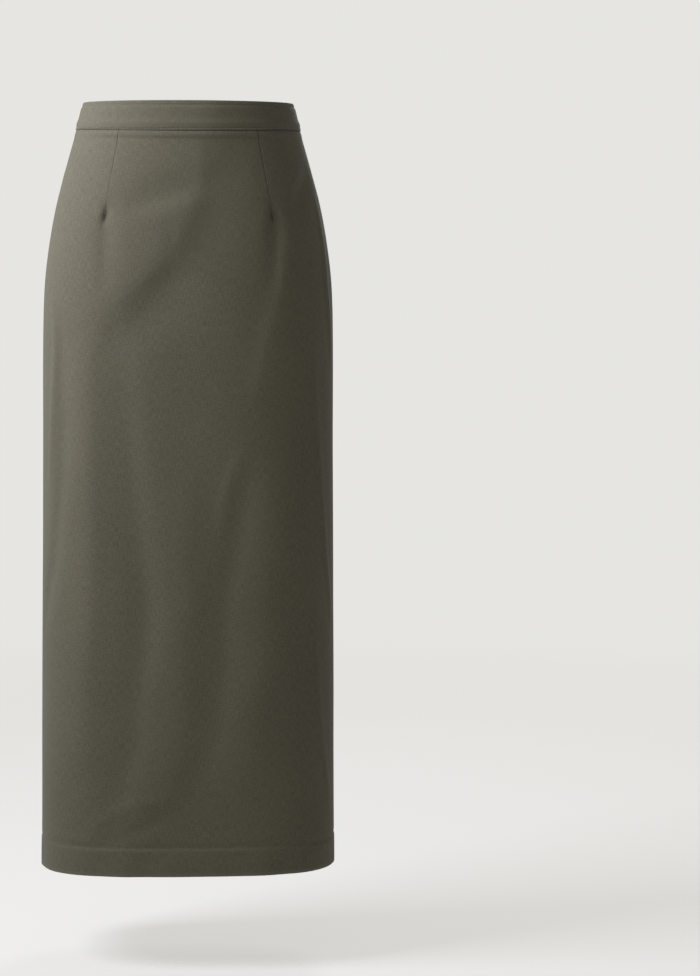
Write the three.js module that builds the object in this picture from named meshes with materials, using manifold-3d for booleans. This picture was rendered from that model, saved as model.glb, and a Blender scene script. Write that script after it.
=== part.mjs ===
// A long pencil skirt in cotton twill, filled out as if worn. Sizes are millimetres and +Z is up.
// The front faces -Y and the wearer's left is +X. The origin is on the middle line of the body,
// level with the middle of the waistband, where a waist holds the skirt up.
// An angle runs round the skirt: 0 is the wearer's left side seam, 90 the centre back,
// 180 the right side seam and -90 the centre front. "below" is measured down from the top edge.
import * as THREE from "three";

// Driving sizes of the garment
const SKIRT_LENGTH = 960;
const BAND_HEIGHT = 35;
const BAND_DIP = 3; // the waist seam lies this much lower at the centre front
const HEM_DEPTH = 33;
const CLOTH = 1.2; // one layer of twill
const BAND_CLOTH = 2.4; // the waistband is folded double
const BAND_LIFT = 0.8; // the waistband stands proud of the panels
const SEAM_GAP = 0.3;
const SEAM_ROLL = 0.5; // how far a pressed seam edge turns in
const ROLL_WIDTH = 2.5; // how far from the edge the turn starts
const DART_SINK = 0.6;
const FRONT_DART = { angle: 54, top: 38, tip: 145 }; // angle from the side seam
const BACK_DART = { angle: 51, top: 35, tip: 147 };
const ZIP_LENGTH = 200;
const ZIP_TOP = 4; // the slider's upper end lies this far below the top edge
const WAIST_LEVEL = BAND_HEIGHT / 2;

// Cross-sections from the top edge to the hem. A corner of 2 is an ellipse, and more is squarer.
const SECTIONS = [
  { below: 0, halfWidth: 132.5, front: 95, back: 95, corner: 2.1 },
  { below: 35, halfWidth: 141, front: 99, back: 102, corner: 2.15 },
  { below: 80, halfWidth: 153.5, front: 104.5, back: 111.5, corner: 2.2 },
  { below: 130, halfWidth: 166.5, front: 109, back: 120.5, corner: 2.3 },
  { below: 180, halfWidth: 175.5, front: 111.5, back: 126.5, corner: 2.4 },
  { below: 230, halfWidth: 181, front: 112.5, back: 129, corner: 2.5 },
  { below: 300, halfWidth: 183, front: 113, back: 128.5, corner: 2.6 },
  { below: 450, halfWidth: 183, front: 113.5, back: 125, corner: 2.8 },
  { below: 700, halfWidth: 184.5, front: 115.5, back: 121, corner: 3.0 },
  { below: 960, halfWidth: 185.5, front: 118, back: 118, corner: 3.1 },
];

// Soft folds: each runs from one place to another, a ridge if its depth is positive.
const FOLDS = [
  { from: { angle: -150, below: 235 }, to: { angle: -162, below: 490 }, width: 14, depth: 1.6 },
  { from: { angle: -126, below: 160 }, to: { angle: -121, below: 640 }, width: 30, depth: -2.4 },
  { from: { angle: -105, below: 210 }, to: { angle: -98, below: 560 }, width: 42, depth: 1.8 },
  { from: { angle: -60, below: 310 }, to: { angle: -86, below: 660 }, width: 20, depth: 2.2 },
  { from: { angle: -50, below: 360 }, to: { angle: -76, below: 690 }, width: 22, depth: -2.2 },
  { from: { angle: -30, below: 150 }, to: { angle: -20, below: 375 }, width: 13, depth: 1.6 },
  { from: { angle: -38, below: 440 }, to: { angle: -27, below: 650 }, width: 14, depth: 1.5 },
  { from: { angle: -46, below: 160 }, to: { angle: -44, below: 330 }, width: 20, depth: -1.8 },
  { from: { angle: -94, below: 866 }, to: { angle: -126, below: 912 }, width: 16, depth: 1.8 },
  { from: { angle: -140, below: 700 }, to: { angle: -112, below: 850 }, width: 30, depth: -2.0 },
  { from: { angle: 112, below: 250 }, to: { angle: 94, below: 440 }, width: 24, depth: 2.2 },
  { from: { angle: 120, below: 310 }, to: { angle: 99, below: 520 }, width: 26, depth: -2.4 },
  { from: { angle: 86, below: 715 }, to: { angle: 60, below: 895 }, width: 22, depth: 2.4 },
  { from: { angle: 75, below: 720 }, to: { angle: 54, below: 890 }, width: 22, depth: -2.6 },
  { from: { angle: 30, below: 300 }, to: { angle: 20, below: 430 }, width: 14, depth: 1.6 },
  { from: { angle: 146, below: 330 }, to: { angle: 158, below: 450 }, width: 14, depth: 1.6 },
];
const FOLD_ARC = 150; // millimetres of cloth for each radian round the skirt, to measure a fold's width
const FOLD_END = 0.3; // the share of its depth that a fold still has at its ends

// Half of the gap between the two back edges: open round the slider, closed below the waist seam
const BACK_GAP = [
  { below: 0, half: 4.0 },
  { below: 5, half: 3.4 },
  { below: 26, half: 3.2 },
  { below: 35, half: 1.6 },
  { below: 46, half: 0.4 },
  { below: 60, half: 0.15 },
  { below: 960, half: 0.15 },
];

// Where the mesh has its rows, measured as "below", and how many degrees lie between its columns
const PANEL_ROWS = [
  37.5, 48, 62, 80, 100, 120, 138, 150, 170, 195, 225, 260, 300, 345, 390, 435, 480, 525, 570, 615,
  660, 705, 750, 795, 835, 870, 900, 926, 927.2, 945, 958.8, 960,
];
const SEAM_FADE = 100; // the dip of the waist seam fades out of the rows over this length
const COLUMN_STEP = 6;
const DART_CLEAR = 0.6; // a plain column nearer to a dart than this share of a step gives way
const ZIP_STEP = 20; // millimetres between the rows of a zip strip

// Rows of the waistband as a share of its height: how far its outer face turns in there, and how
// far its inner face comes out
const BAND_ROWS = [
  { share: 0, turnedIn: 0.8, broughtOut: 0.6 },
  { share: 0.03, turnedIn: 0.1, broughtOut: 0 },
  { share: 0.12, turnedIn: 0, broughtOut: 0 },
  { share: 0.4, turnedIn: 0, broughtOut: 0 },
  { share: 0.7, turnedIn: 0, broughtOut: 0 },
  { share: 0.97, turnedIn: 0, broughtOut: 0 },
  { share: 1, turnedIn: 0.4, broughtOut: 0 },
];

// The zip. Its slider, arch and pull are drawn flat, from the slider's upper end down. "front" and
// "out" are how far a face or the axle stands out of the waistband's face, or of the cloth's form.
const TAPE = { near: 3.1, far: 14, front: -2.4, thick: 1, top: 6, tail: 12 };
const CHAIN = { halfWidth: 2.8, front: -2.2, thick: 1.9 };
const SLIDER = {
  length: 9,
  topWidth: 5.6,
  endWidth: 4.4,
  shoulder: 3,
  notchHalf: 1,
  notchDeep: 2,
  front: -0.7,
  thick: 3.4,
};
const ARCH = { width: 1.6, from: 1.8, to: 7.7, high: 2.9, strap: 1, bevel: 1.2, root: 0.5 };
const PULL = {
  axle: 5.2,
  out: 0.85,
  thick: 1,
  length: 25,
  width: 7,
  neck: 4.4,
  eye: 2.4,
  reach: 4,
  frame: 1,
};
const CHAIN_TOP = ZIP_TOP + SLIDER.length + SEAM_GAP;
const CURVE_STEPS = 6; // straight pieces in each curved side of the pull
const MERGE_WITHIN = 1e-3;

const TWILL = { color: 0x5c5a4c, roughness: 0.9, metalness: 0 };
const ZIP_TAPE = { color: 0x3d3c34, roughness: 0.9, metalness: 0 };
const ZIP_METAL = { color: 0x1c1c1c, roughness: 0.35, metalness: 0.8 };

const radians = THREE.MathUtils.degToRad;
const degrees = THREE.MathUtils.radToDeg;
const clamp = THREE.MathUtils.clamp;

// A smooth curve through one column of a table whose rows are sorted by "below"
function along(table, column, below) {
  const last = table.length - 1;
  const found = table.findIndex((row) => row.below > below);
  const i = clamp((found < 0 ? last : found) - 1, 0, last - 1);
  const slopeAt = (k) => {
    const high = table[Math.min(k + 1, last)];
    const low = table[Math.max(k - 1, 0)];
    return (high[column] - low[column]) / (high.below - low.below);
  };
  const step = table[i + 1].below - table[i].below;
  const t = (below - table[i].below) / step;
  const rise = 3 * t ** 2 - 2 * t ** 3;
  return (
    table[i][column] * (1 - rise) +
    table[i + 1][column] * rise +
    (t ** 3 - 2 * t ** 2 + t) * step * slopeAt(i) +
    (t ** 3 - t ** 2) * step * slopeAt(i + 1)
  );
}

// A straight line between the rows of a table
function between(table, column, below) {
  const found = table.findIndex((row) => row.below >= below);
  const i = Math.max(found < 0 ? table.length - 1 : found, 1);
  const [a, b] = [table[i - 1], table[i]];
  return THREE.MathUtils.mapLinear(below, a.below, b.below, a[column], b[column]);
}

// The smooth form that the skirt hangs on, as a point on its surface
function formPoint(angle, below) {
  const corner = along(SECTIONS, "corner", below);
  const depth = along(SECTIONS, angle < 0 ? "front" : "back", below);
  const across = Math.cos(radians(angle));
  const deep = Math.sin(radians(angle));
  const reach = (Math.abs(across) ** corner + Math.abs(deep) ** corner) ** (-1 / corner);
  return new THREE.Vector3(
    along(SECTIONS, "halfWidth", below) * reach * across,
    depth * reach * deep,
    WAIST_LEVEL - below,
  );
}

function formNormal(angle, below) {
  const round = formPoint(angle + 0.5, below).sub(formPoint(angle - 0.5, below));
  const down = formPoint(angle, below + 1).sub(formPoint(angle, below - 1));
  return down.cross(round).normalize();
}

// How far the folds move the cloth out at a place
function foldLift(angle, below) {
  const flat = (place) => new THREE.Vector2(radians(place.angle) * FOLD_ARC, place.below);
  const here = flat({ angle, below });
  return FOLDS.reduce((lift, fold) => {
    const start = flat(fold.from);
    const run = flat(fold.to).sub(start);
    const t = clamp(here.clone().sub(start).dot(run) / run.lengthSq(), 0, 1);
    const away = here.distanceTo(run.multiplyScalar(t).add(start));
    const swell = FOLD_END + (1 - FOLD_END) * Math.sin(Math.PI * t);
    return lift + fold.depth * swell * Math.exp(-((away / fold.width) ** 2));
  }, 0);
}

function clothPoint(angle, below, lift) {
  const out = formNormal(angle, below).multiplyScalar(foldLift(angle, below) + lift);
  return formPoint(angle, below).add(out);
}

// The waist seam dips towards the centre front
function seamDip(angle) {
  return BAND_DIP * Math.max(0, -Math.sin(radians(angle))) ** 2;
}

// Degrees that cover a length of cloth beside a side seam or beside the centre back
function turnFor(length, seam, below) {
  const reach = seam === "side" ? along(SECTIONS, "front", below) : along(SECTIONS, "halfWidth", below);
  return degrees(length / reach);
}

const sideSeam = (below) => turnFor(SEAM_GAP / 2, "side", below);
const backSeam = (below) => turnFor(between(BACK_GAP, "half", below), "back", below);

// The columns of a wall at one height: seam edges that turn in, even steps, and a dart's three columns.
// first and last are the wall's edges, each {angle, gap} where gap is that edge's half gap in degrees.
function columnsOf(wall, below) {
  const first = wall.first.angle + wall.first.gap(below);
  const last = wall.last.angle - wall.last.gap(below);
  const roll = turnFor(ROLL_WIDTH, "side", below);
  const columns = [
    { angle: first, sink: SEAM_ROLL },
    { angle: first + roll, sink: 0 },
  ];
  const count = Math.round((wall.last.angle - wall.first.angle) / COLUMN_STEP);
  const step = (wall.last.angle - wall.first.angle) / count;
  const darts = wall.darts ?? [];
  for (let k = 1; k < count; k++) {
    const angle = wall.first.angle + k * step;
    if (darts.every((dart) => Math.abs(dart.angle - angle) > DART_CLEAR * step)) {
      columns.push({ angle, sink: 0 });
    }
  }
  for (const dart of darts) {
    const fade = clamp((dart.tip - below) / (dart.tip - dart.top), 0, 1);
    const sink = DART_SINK * Math.sqrt(fade);
    columns.push({ angle: dart.angle - roll, sink: 0 });
    columns.push({ angle: dart.angle, sink });
    columns.push({ angle: dart.angle + roll, sink: 0 });
  }
  columns.push({ angle: last - roll, sink: 0 }, { angle: last, sink: SEAM_ROLL });
  return columns.sort((a, b) => a.angle - b.angle);
}

// A closed wall from a grid of outer points and a grid of inner points
function wallGeometry(outer, inner) {
  const rows = outer.length;
  const columns = outer[0].length;
  const positions = [...outer.flat(), ...inner.flat()].flatMap((p) => p.toArray());
  const at = (layer, row, column) => layer * rows * columns + row * columns + column;
  const faces = [];
  const quad = (a, b, c, d) => faces.push(a, b, c, a, c, d);
  for (let r = 0; r < rows - 1; r++) {
    for (let c = 0; c < columns - 1; c++) {
      quad(at(0, r, c), at(0, r + 1, c), at(0, r + 1, c + 1), at(0, r, c + 1));
      quad(at(1, r, c), at(1, r, c + 1), at(1, r + 1, c + 1), at(1, r + 1, c));
    }
    quad(at(0, r, 0), at(1, r, 0), at(1, r + 1, 0), at(0, r + 1, 0));
    const end = columns - 1;
    quad(at(0, r, end), at(0, r + 1, end), at(1, r + 1, end), at(1, r, end));
  }
  for (let c = 0; c < columns - 1; c++) {
    const end = rows - 1;
    quad(at(0, 0, c), at(0, 0, c + 1), at(1, 0, c + 1), at(1, 0, c));
    quad(at(0, end, c), at(1, end, c), at(1, end, c + 1), at(0, end, c + 1));
  }
  const geometry = new THREE.BufferGeometry();
  geometry.setAttribute("position", new THREE.Float32BufferAttribute(positions, 3));
  geometry.setIndex(faces);
  return geometry;
}

// A wall is a grid of rows. Each row says where it lies at an angle, and how far out its two faces are.
function wallMesh(name, wall, rows, finish) {
  const grid = (face) =>
    rows.map((row) =>
      columnsOf(wall, row.level).map(({ angle, sink }) =>
        clothPoint(angle, row.belowAt(angle), row[face] - sink),
      ),
    );
  return named(name, wallGeometry(grid("outer"), grid("inner")), finish);
}

function named(name, geometry, finish) {
  const mesh = new THREE.Mesh(geometry, new THREE.MeshStandardMaterial(finish));
  mesh.name = name;
  return mesh;
}

// Rows of a skirt panel: the top row follows the waist seam, and the hem is turned up inside
function panelRows() {
  return PANEL_ROWS.map((level) => {
    const follow = Math.max(0, 1 - (level - BAND_HEIGHT) / SEAM_FADE);
    const top = level === PANEL_ROWS[0];
    const hemmed = level > SKIRT_LENGTH - HEM_DEPTH;
    return {
      level,
      belowAt: (angle) =>
        top ? BAND_HEIGHT + seamDip(angle) + SEAM_GAP : level + seamDip(angle) * follow,
      outer: level === SKIRT_LENGTH ? -SEAM_ROLL : 0,
      inner: hemmed ? -2 * CLOTH : -CLOTH,
    };
  });
}

// Rows of a waistband piece: a rounded top edge, a plain face, and the seam edge
function bandRows() {
  return BAND_ROWS.map(({ share, turnedIn, broughtOut }) => ({
    level: share * BAND_HEIGHT,
    belowAt: (angle) => share * (BAND_HEIGHT + seamDip(angle)),
    outer: BAND_LIFT - turnedIn,
    inner: BAND_LIFT - BAND_CLOTH + broughtOut,
  }));
}

const dartsAt = (dart, ...angles) => angles.map((angle) => ({ ...dart, angle }));
const FRONT = {
  first: { angle: -180, gap: sideSeam },
  last: { angle: 0, gap: sideSeam },
};
const BACK_LEFT = {
  first: { angle: 0, gap: sideSeam },
  last: { angle: 90, gap: backSeam },
};
const BACK_RIGHT = {
  first: { angle: 90, gap: backSeam },
  last: { angle: 180, gap: sideSeam },
};

function skirtPanels() {
  const rows = panelRows();
  const frontDarts = dartsAt(FRONT_DART, -FRONT_DART.angle, FRONT_DART.angle - 180);
  const leftDart = dartsAt(BACK_DART, BACK_DART.angle);
  const rightDart = dartsAt(BACK_DART, 180 - BACK_DART.angle);
  return [
    wallMesh("front_panel", { ...FRONT, darts: frontDarts }, rows, TWILL),
    wallMesh("back_panel_left", { ...BACK_LEFT, darts: leftDart }, rows, TWILL),
    wallMesh("back_panel_right", { ...BACK_RIGHT, darts: rightDart }, rows, TWILL),
  ];
}

function waistbands() {
  const rows = bandRows();
  return [
    wallMesh("waistband_front", FRONT, rows, TWILL),
    wallMesh("waistband_back_left", BACK_LEFT, rows, TWILL),
    wallMesh("waistband_back_right", BACK_RIGHT, rows, TWILL),
  ];
}

// A straight strip that follows the centre back between two distances from the middle line
function zipStrip(name, from, to, span, front, thick, finish) {
  const steps = Math.round((span.bottom - span.top) / ZIP_STEP);
  const levels = Array.from({ length: steps + 1 }, (_, k) =>
    THREE.MathUtils.lerp(span.top, span.bottom, k / steps),
  );
  const grid = (lift) =>
    levels.map((below) =>
      [to, from].map((x) => clothPoint(90 - turnFor(x, "back", below), below, lift)),
    );
  const [outer, inner] = [grid(front), grid(front - thick)];
  return named(name, wallGeometry(outer, inner), finish);
}

// A plate whose outline is drawn flat, with "down" along the zip, and given a thickness outwards
function plate(points, holes, out, thick) {
  const shape = new THREE.Shape(points.map(([x, down]) => new THREE.Vector2(x, -down)));
  for (const hole of holes) {
    shape.holes.push(new THREE.Path(hole.map(([x, down]) => new THREE.Vector2(x, -down))));
  }
  const geometry = new THREE.ExtrudeGeometry(shape, { depth: thick, bevelEnabled: false });
  return geometry.translate(0, 0, out);
}

function sliderBody() {
  const { length, topWidth, endWidth, shoulder, notchHalf, notchDeep, front, thick } = SLIDER;
  const outline = [
    [-topWidth / 2, 0],
    [-notchHalf, 0],
    [0, notchDeep],
    [notchHalf, 0],
    [topWidth / 2, 0],
    [topWidth / 2, shoulder],
    [endWidth / 2, length],
    [-endWidth / 2, length],
    [-topWidth / 2, shoulder],
  ];
  return plate(outline, [], front - thick, thick);
}

// The arch that holds the pull: a strap of even thickness, drawn from the side and extruded across
function sliderArch() {
  const { width, from, to, high, strap, bevel, root } = ARCH;
  const foot = SLIDER.front - root;
  const under = high - strap;
  const innerBevel = bevel - strap * (2 - Math.SQRT2);
  const outline = [
    [from, foot],
    [from, high - bevel],
    [from + bevel, high],
    [to - bevel, high],
    [to, high - bevel],
    [to, foot],
    [to - strap, foot],
    [to - strap, under - innerBevel],
    [to - strap - innerBevel, under],
    [from + strap + innerBevel, under],
    [from + strap, under - innerBevel],
    [from + strap, foot],
  ];
  const shape = new THREE.Shape(outline.map(([down, out]) => new THREE.Vector2(down, out)));
  const geometry = new THREE.ExtrudeGeometry(shape, { depth: width, bevelEnabled: false });
  // Drawn with down along X and out along Y: turned so that down is -Y and out is Z
  const turn = new THREE.Matrix4().set(0, 0, -1, width / 2, -1, 0, 0, 0, 0, 1, 0, 0, 0, 0, 0, 1);
  return geometry.applyMatrix4(turn);
}

// The teardrop pull: a bar through the arch, two arms beside it, and a drop-shaped plate
function pullPlate() {
  const { axle, out, thick, length, width, neck, eye, reach, frame } = PULL;
  const top = axle - thick / 2;
  const tip = top + length;
  const belly = tip - width;
  const side = [];
  for (let k = 0; k <= CURVE_STEPS; k++) {
    const t = k / CURVE_STEPS;
    const half = THREE.MathUtils.lerp(neck, width, THREE.MathUtils.smoothstep(t, 0, 1)) / 2;
    side.push([half, THREE.MathUtils.lerp(axle + reach + frame, belly, t)]);
  }
  for (let k = 1; k <= CURVE_STEPS; k++) {
    const turn = (Math.PI / 2) * (k / CURVE_STEPS);
    side.push([(width / 2) * Math.cos(turn), belly + (tip - belly) * Math.sin(turn)]);
  }
  const mirrored = side.slice(0, -1).reverse().map(([x, down]) => [-x, down]);
  const outline = [[-neck / 2, top], [neck / 2, top], ...side, ...mirrored];
  // A hole's points run the other way round from the outline's
  const hole = [
    [-eye / 2, axle + thick / 2],
    [-eye / 2, axle + reach],
    [eye / 2, axle + reach],
    [eye / 2, axle + thick / 2],
  ];
  return plate(outline, [hole], out - thick / 2, thick);
}

async function joined(...geometries) {
  const { default: Module } = await import("manifold-3d");
  const { mergeVertices } = await import("three/addons/utils/BufferGeometryUtils.js");
  const library = await Module();
  library.setup();
  const solids = geometries.map((geometry) => {
    const bare = new THREE.BufferGeometry();
    bare.setAttribute("position", geometry.getAttribute("position"));
    const merged = mergeVertices(bare, MERGE_WITHIN);
    return new library.Manifold(
      new library.Mesh({
        numProp: 3,
        vertProperties: merged.attributes.position.array,
        triVerts: new Uint32Array(merged.index.array),
      }),
    );
  });
  const { vertProperties, triVerts } = solids.reduce((a, b) => a.add(b)).getMesh();
  const geometry = new THREE.BufferGeometry();
  geometry.setAttribute("position", new THREE.BufferAttribute(vertProperties, 3));
  geometry.setIndex(new THREE.BufferAttribute(triVerts, 1));
  return geometry;
}

// The slider and its pull are drawn flat and then laid against the slope of the centre back
async function sliderGroup() {
  const group = new THREE.Group();
  const top = clothPoint(90, ZIP_TOP, BAND_LIFT);
  const end = clothPoint(90, ZIP_TOP + PULL.axle + PULL.length, BAND_LIFT);
  const down = end.clone().sub(top).normalize();
  const across = new THREE.Vector3(-1, 0, 0);
  const out = new THREE.Vector3().crossVectors(across, down.clone().negate());
  group.applyMatrix4(new THREE.Matrix4().makeBasis(across, down.clone().negate(), out));
  group.position.copy(top);
  group.add(named("zip_slider", await joined(sliderBody(), sliderArch()), ZIP_METAL));
  group.add(named("zip_pull", pullPlate(), ZIP_METAL));
  return group;
}

const skirt = new THREE.Group();
skirt.add(...skirtPanels(), ...waistbands());
const chainSpan = { top: CHAIN_TOP, bottom: ZIP_LENGTH };
const tapeSpan = { top: TAPE.top, bottom: ZIP_LENGTH + TAPE.tail };
skirt.add(
  zipStrip("zip_tape_left", TAPE.near, TAPE.far, tapeSpan, TAPE.front, TAPE.thick, ZIP_TAPE),
  zipStrip("zip_tape_right", -TAPE.far, -TAPE.near, tapeSpan, TAPE.front, TAPE.thick, ZIP_TAPE),
  zipStrip("zip_chain", -CHAIN.halfWidth, CHAIN.halfWidth, chainSpan, CHAIN.front, CHAIN.thick, ZIP_TAPE),
);
skirt.add(await sliderGroup());

export default skirt;
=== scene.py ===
# %% [markdown]
# This lesson dresses a long pencil skirt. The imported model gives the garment's pieces at their real
# size and place, as plain walls. Here each wall gets its cloth: a thin shell with rolled seams,
# darts, stitches, a turned hem and the soft folds of a skirt that is being worn, in olive cotton
# twill. The first step loads the model, whose box must not grow.

# %% Load the frame
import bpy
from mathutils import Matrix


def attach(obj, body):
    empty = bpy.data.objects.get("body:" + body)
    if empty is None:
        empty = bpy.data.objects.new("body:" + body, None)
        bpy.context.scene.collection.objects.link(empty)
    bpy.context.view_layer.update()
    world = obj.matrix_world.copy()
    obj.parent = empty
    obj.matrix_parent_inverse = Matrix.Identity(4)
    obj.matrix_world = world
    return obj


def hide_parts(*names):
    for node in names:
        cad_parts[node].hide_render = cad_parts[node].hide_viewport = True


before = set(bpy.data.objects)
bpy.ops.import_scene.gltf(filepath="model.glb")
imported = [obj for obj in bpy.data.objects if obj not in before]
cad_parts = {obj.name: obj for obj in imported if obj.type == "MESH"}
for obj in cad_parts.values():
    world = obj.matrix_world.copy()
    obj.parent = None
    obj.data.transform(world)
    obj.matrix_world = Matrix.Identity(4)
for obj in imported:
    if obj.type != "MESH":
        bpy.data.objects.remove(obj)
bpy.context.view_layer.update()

# %% Tools
import math
from collections import namedtuple

import bmesh
import bpy
import numpy as np
from mathutils import Matrix, Vector

# %% [markdown]
# A skirt is drafted from girths at a few heights, so its worn form can be drawn the same way: a
# short table of cross-sections, each a superellipse. A corner of 2 is an ellipse and a larger one
# is squarer, as a straight skirt is at its hem. The table is in millimetres and repeats the
# garment's own sizes. "below" is measured down from the top edge. An angle runs round the skirt:
# 0 is the wearer's left side seam, 90 the centre back and -90 the centre front.

# %% The worn form
MM = 0.001
LENGTH = 960
BAND_HEIGHT = 35
BAND_DIP = 3
WAIST_LEVEL = BAND_HEIGHT / 2
MEAN_RADIUS = 150

Section = namedtuple("Section", "below half_width front back corner")
SECTIONS = [
    Section(0, 132.5, 95, 95, 2.1),
    Section(35, 141, 99, 102, 2.15),
    Section(80, 153.5, 104.5, 111.5, 2.2),
    Section(130, 166.5, 109, 120.5, 2.3),
    Section(180, 175.5, 111.5, 126.5, 2.4),
    Section(230, 181, 112.5, 129, 2.5),
    Section(300, 183, 113, 128.5, 2.6),
    Section(450, 183, 113.5, 125, 2.8),
    Section(700, 184.5, 115.5, 121, 3.0),
    Section(960, 185.5, 118, 118, 3.1),
]


def along(table, column, below):
    """A smooth curve through one column of a table, read at the heights in below."""
    places = np.array([row.below for row in table], float)
    values = np.array([getattr(row, column) for row in table], float)
    last = len(table) - 1
    high = np.minimum(np.arange(last + 1) + 1, last)
    low = np.maximum(np.arange(last + 1) - 1, 0)
    slopes = (values[high] - values[low]) / (places[high] - places[low])
    i = np.clip(np.searchsorted(places, below, side="right") - 1, 0, last - 1)
    step = places[i + 1] - places[i]
    t = (below - places[i]) / step
    rise = 3 * t**2 - 2 * t**3
    ends = values[i] * (1 - rise) + values[i + 1] * rise
    bend = (t**3 - 2 * t**2 + t) * slopes[i] + (t**3 - t**2) * slopes[i + 1]
    return ends + bend * step


def form(angle, below):
    """Points of the smooth form that the skirt hangs on, in millimetres."""
    corner = along(SECTIONS, "corner", below)
    front = along(SECTIONS, "front", below)
    back = along(SECTIONS, "back", below)
    across = np.cos(np.radians(angle))
    deep = np.sin(np.radians(angle))
    reach = (np.abs(across) ** corner + np.abs(deep) ** corner) ** (-1 / corner)
    x = along(SECTIONS, "half_width", below) * reach * across
    y = np.where(angle < 0, front, back) * reach * deep
    return np.stack([x, y, WAIST_LEVEL - below], -1)


def outward(angle, below):
    """The direction straight out of the form."""
    around = form(angle + 0.5, below) - form(angle - 0.5, below)
    down = form(angle, below + 1) - form(angle, below - 1)
    normal = np.cross(down, around)
    return normal / np.linalg.norm(normal, axis=-1, keepdims=True)


def smooth(value, low, high):
    """Rises gently from 0 at low to 1 at high."""
    t = np.clip((value - low) / (high - low), 0, 1)
    return t * t * (3 - 2 * t)


def bell(value, middle, width):
    """1 at the middle, fading over the width to both sides."""
    return np.exp(-(((value - middle) / width) ** 2))


def arc(angle):
    """Roughly how many millimetres round the skirt an angle is."""
    return np.radians(angle) * MEAN_RADIUS


turn = np.linspace(-180, 180, 721)
for height in (0, 300, 960):
    ring = form(turn, np.full(turn.shape, float(height)))
    girth = np.linalg.norm(np.diff(ring, axis=0), axis=1).sum()
    print(f"{height} mm below the top edge the skirt is {girth:.0f} mm round")

# %% [markdown]
# Cloth on a body never lies quite smooth. Simulated cloth would fold anew with each change, so the
# folds are listed one by one instead: each follows a route over the cloth, as (angle, below) places,
# and lifts it as a soft ridge or lowers it as a trough. Its two flanks have widths of their own,
# because a fold is steeper where the cloth drags against it. Routes run from the top down, and
# left and right are as seen from outside. Widths and depths are in millimetres of cloth.

# %% Folds and creases
Fold = namedtuple("Fold", "route left right depth")
FRONT_FOLDS = [
    # The waistband bends a little at one place, and cloth hangs in hollows under the two darts
    Fold([(-76, 0), (-76, 22)], 25, 14, 0.7),
    Fold([(-125, 133), (-124, 173), (-123, 235)], 8, 12, -1.6),
    Fold([(-57, 130), (-61, 173)], 6, 5, 0.6),
    Fold([(-51, 129), (-54, 179), (-57, 229)], 9, 6, -1.3),
    Fold([(-46, 138), (-50, 192), (-54, 244), (-58, 282), (-61, 324), (-64, 373)], 11, 28, 1.9),
    # A broad drag from the wearer's left waist down to the right thigh
    Fold([(-117, 131), (-101, 118), (-84, 104)], 14, 24, -3.2),
    Fold([(-64, 46), (-76, 120), (-82, 200)], 24, 30, -1.8),
    Fold([(-93, 200), (-104, 258), (-121, 308)], 20, 28, -2.7),
    Fold([(-84, 80), (-91, 142), (-100, 200), (-123, 257)], 30, 14, 1.8),
    Fold([(-97, 146), (-97, 200)], 6, 6, -0.6),
    Fold([(-18, 84), (-34, 112), (-46, 142)], 9, 18, -3.2),
    # Long upright folds of the leg
    Fold([(-129, 303), (-128, 421), (-126, 618), (-128, 717), (-130, 817)], 18, 15, 2.7),
    Fold(
        [(-116, 303), (-112, 457), (-106, 617), (-107, 679), (-110, 741), (-110, 790), (-120, 908)],
        22, 14, -3.4,
    ),
    Fold([(-91, 469), (-92, 568), (-90, 617), (-93, 666), (-92, 740), (-94, 814), (-100, 863)], 24, 16, 2.2),
    Fold([(-68, 457), (-73, 568), (-76, 617), (-76, 679), (-80, 789), (-84, 832)], 18, 12, -2.4),
    Fold([(-58, 470), (-59, 569), (-61, 618), (-60, 680), (-64, 741), (-66, 802), (-70, 857)], 18, 24, 2.2),
    Fold([(-70, 429), (-76, 479), (-78, 531)], 4, 12, 1.1),
    Fold([(-68, 753), (-74, 770)], 3, 3, 0.3),
    # Narrow ones along the side seams
    Fold([(-20, 129), (-25, 230), (-20, 324)], 4, 8, 2.7),
    Fold([(-39, 291), (-38, 398), (-35, 485), (-31, 574), (-24, 650)], 4, 8, 2.6),
    Fold([(-42, 633), (-40, 720), (-37, 796), (-30, 873)], 4, 8, 2.4),
    Fold([(-150, 248), (-147, 310), (-149, 398), (-151, 480)], 6, 6, 2.2),
    Fold([(-143, 290), (-141, 390), (-142, 470), (-146, 570), (-155, 645)], 9, 14, -3.0),
    # Creases above the hem
    Fold([(-96, 861), (-112, 873), (-123, 893), (-128, 925)], 8, 8, 1.0),
    Fold([(-99, 885), (-112, 908), (-120, 918)], 7, 8, -0.9),
    Fold([(-131, 830), (-141, 892)], 12, 12, -0.6),
]
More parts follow.
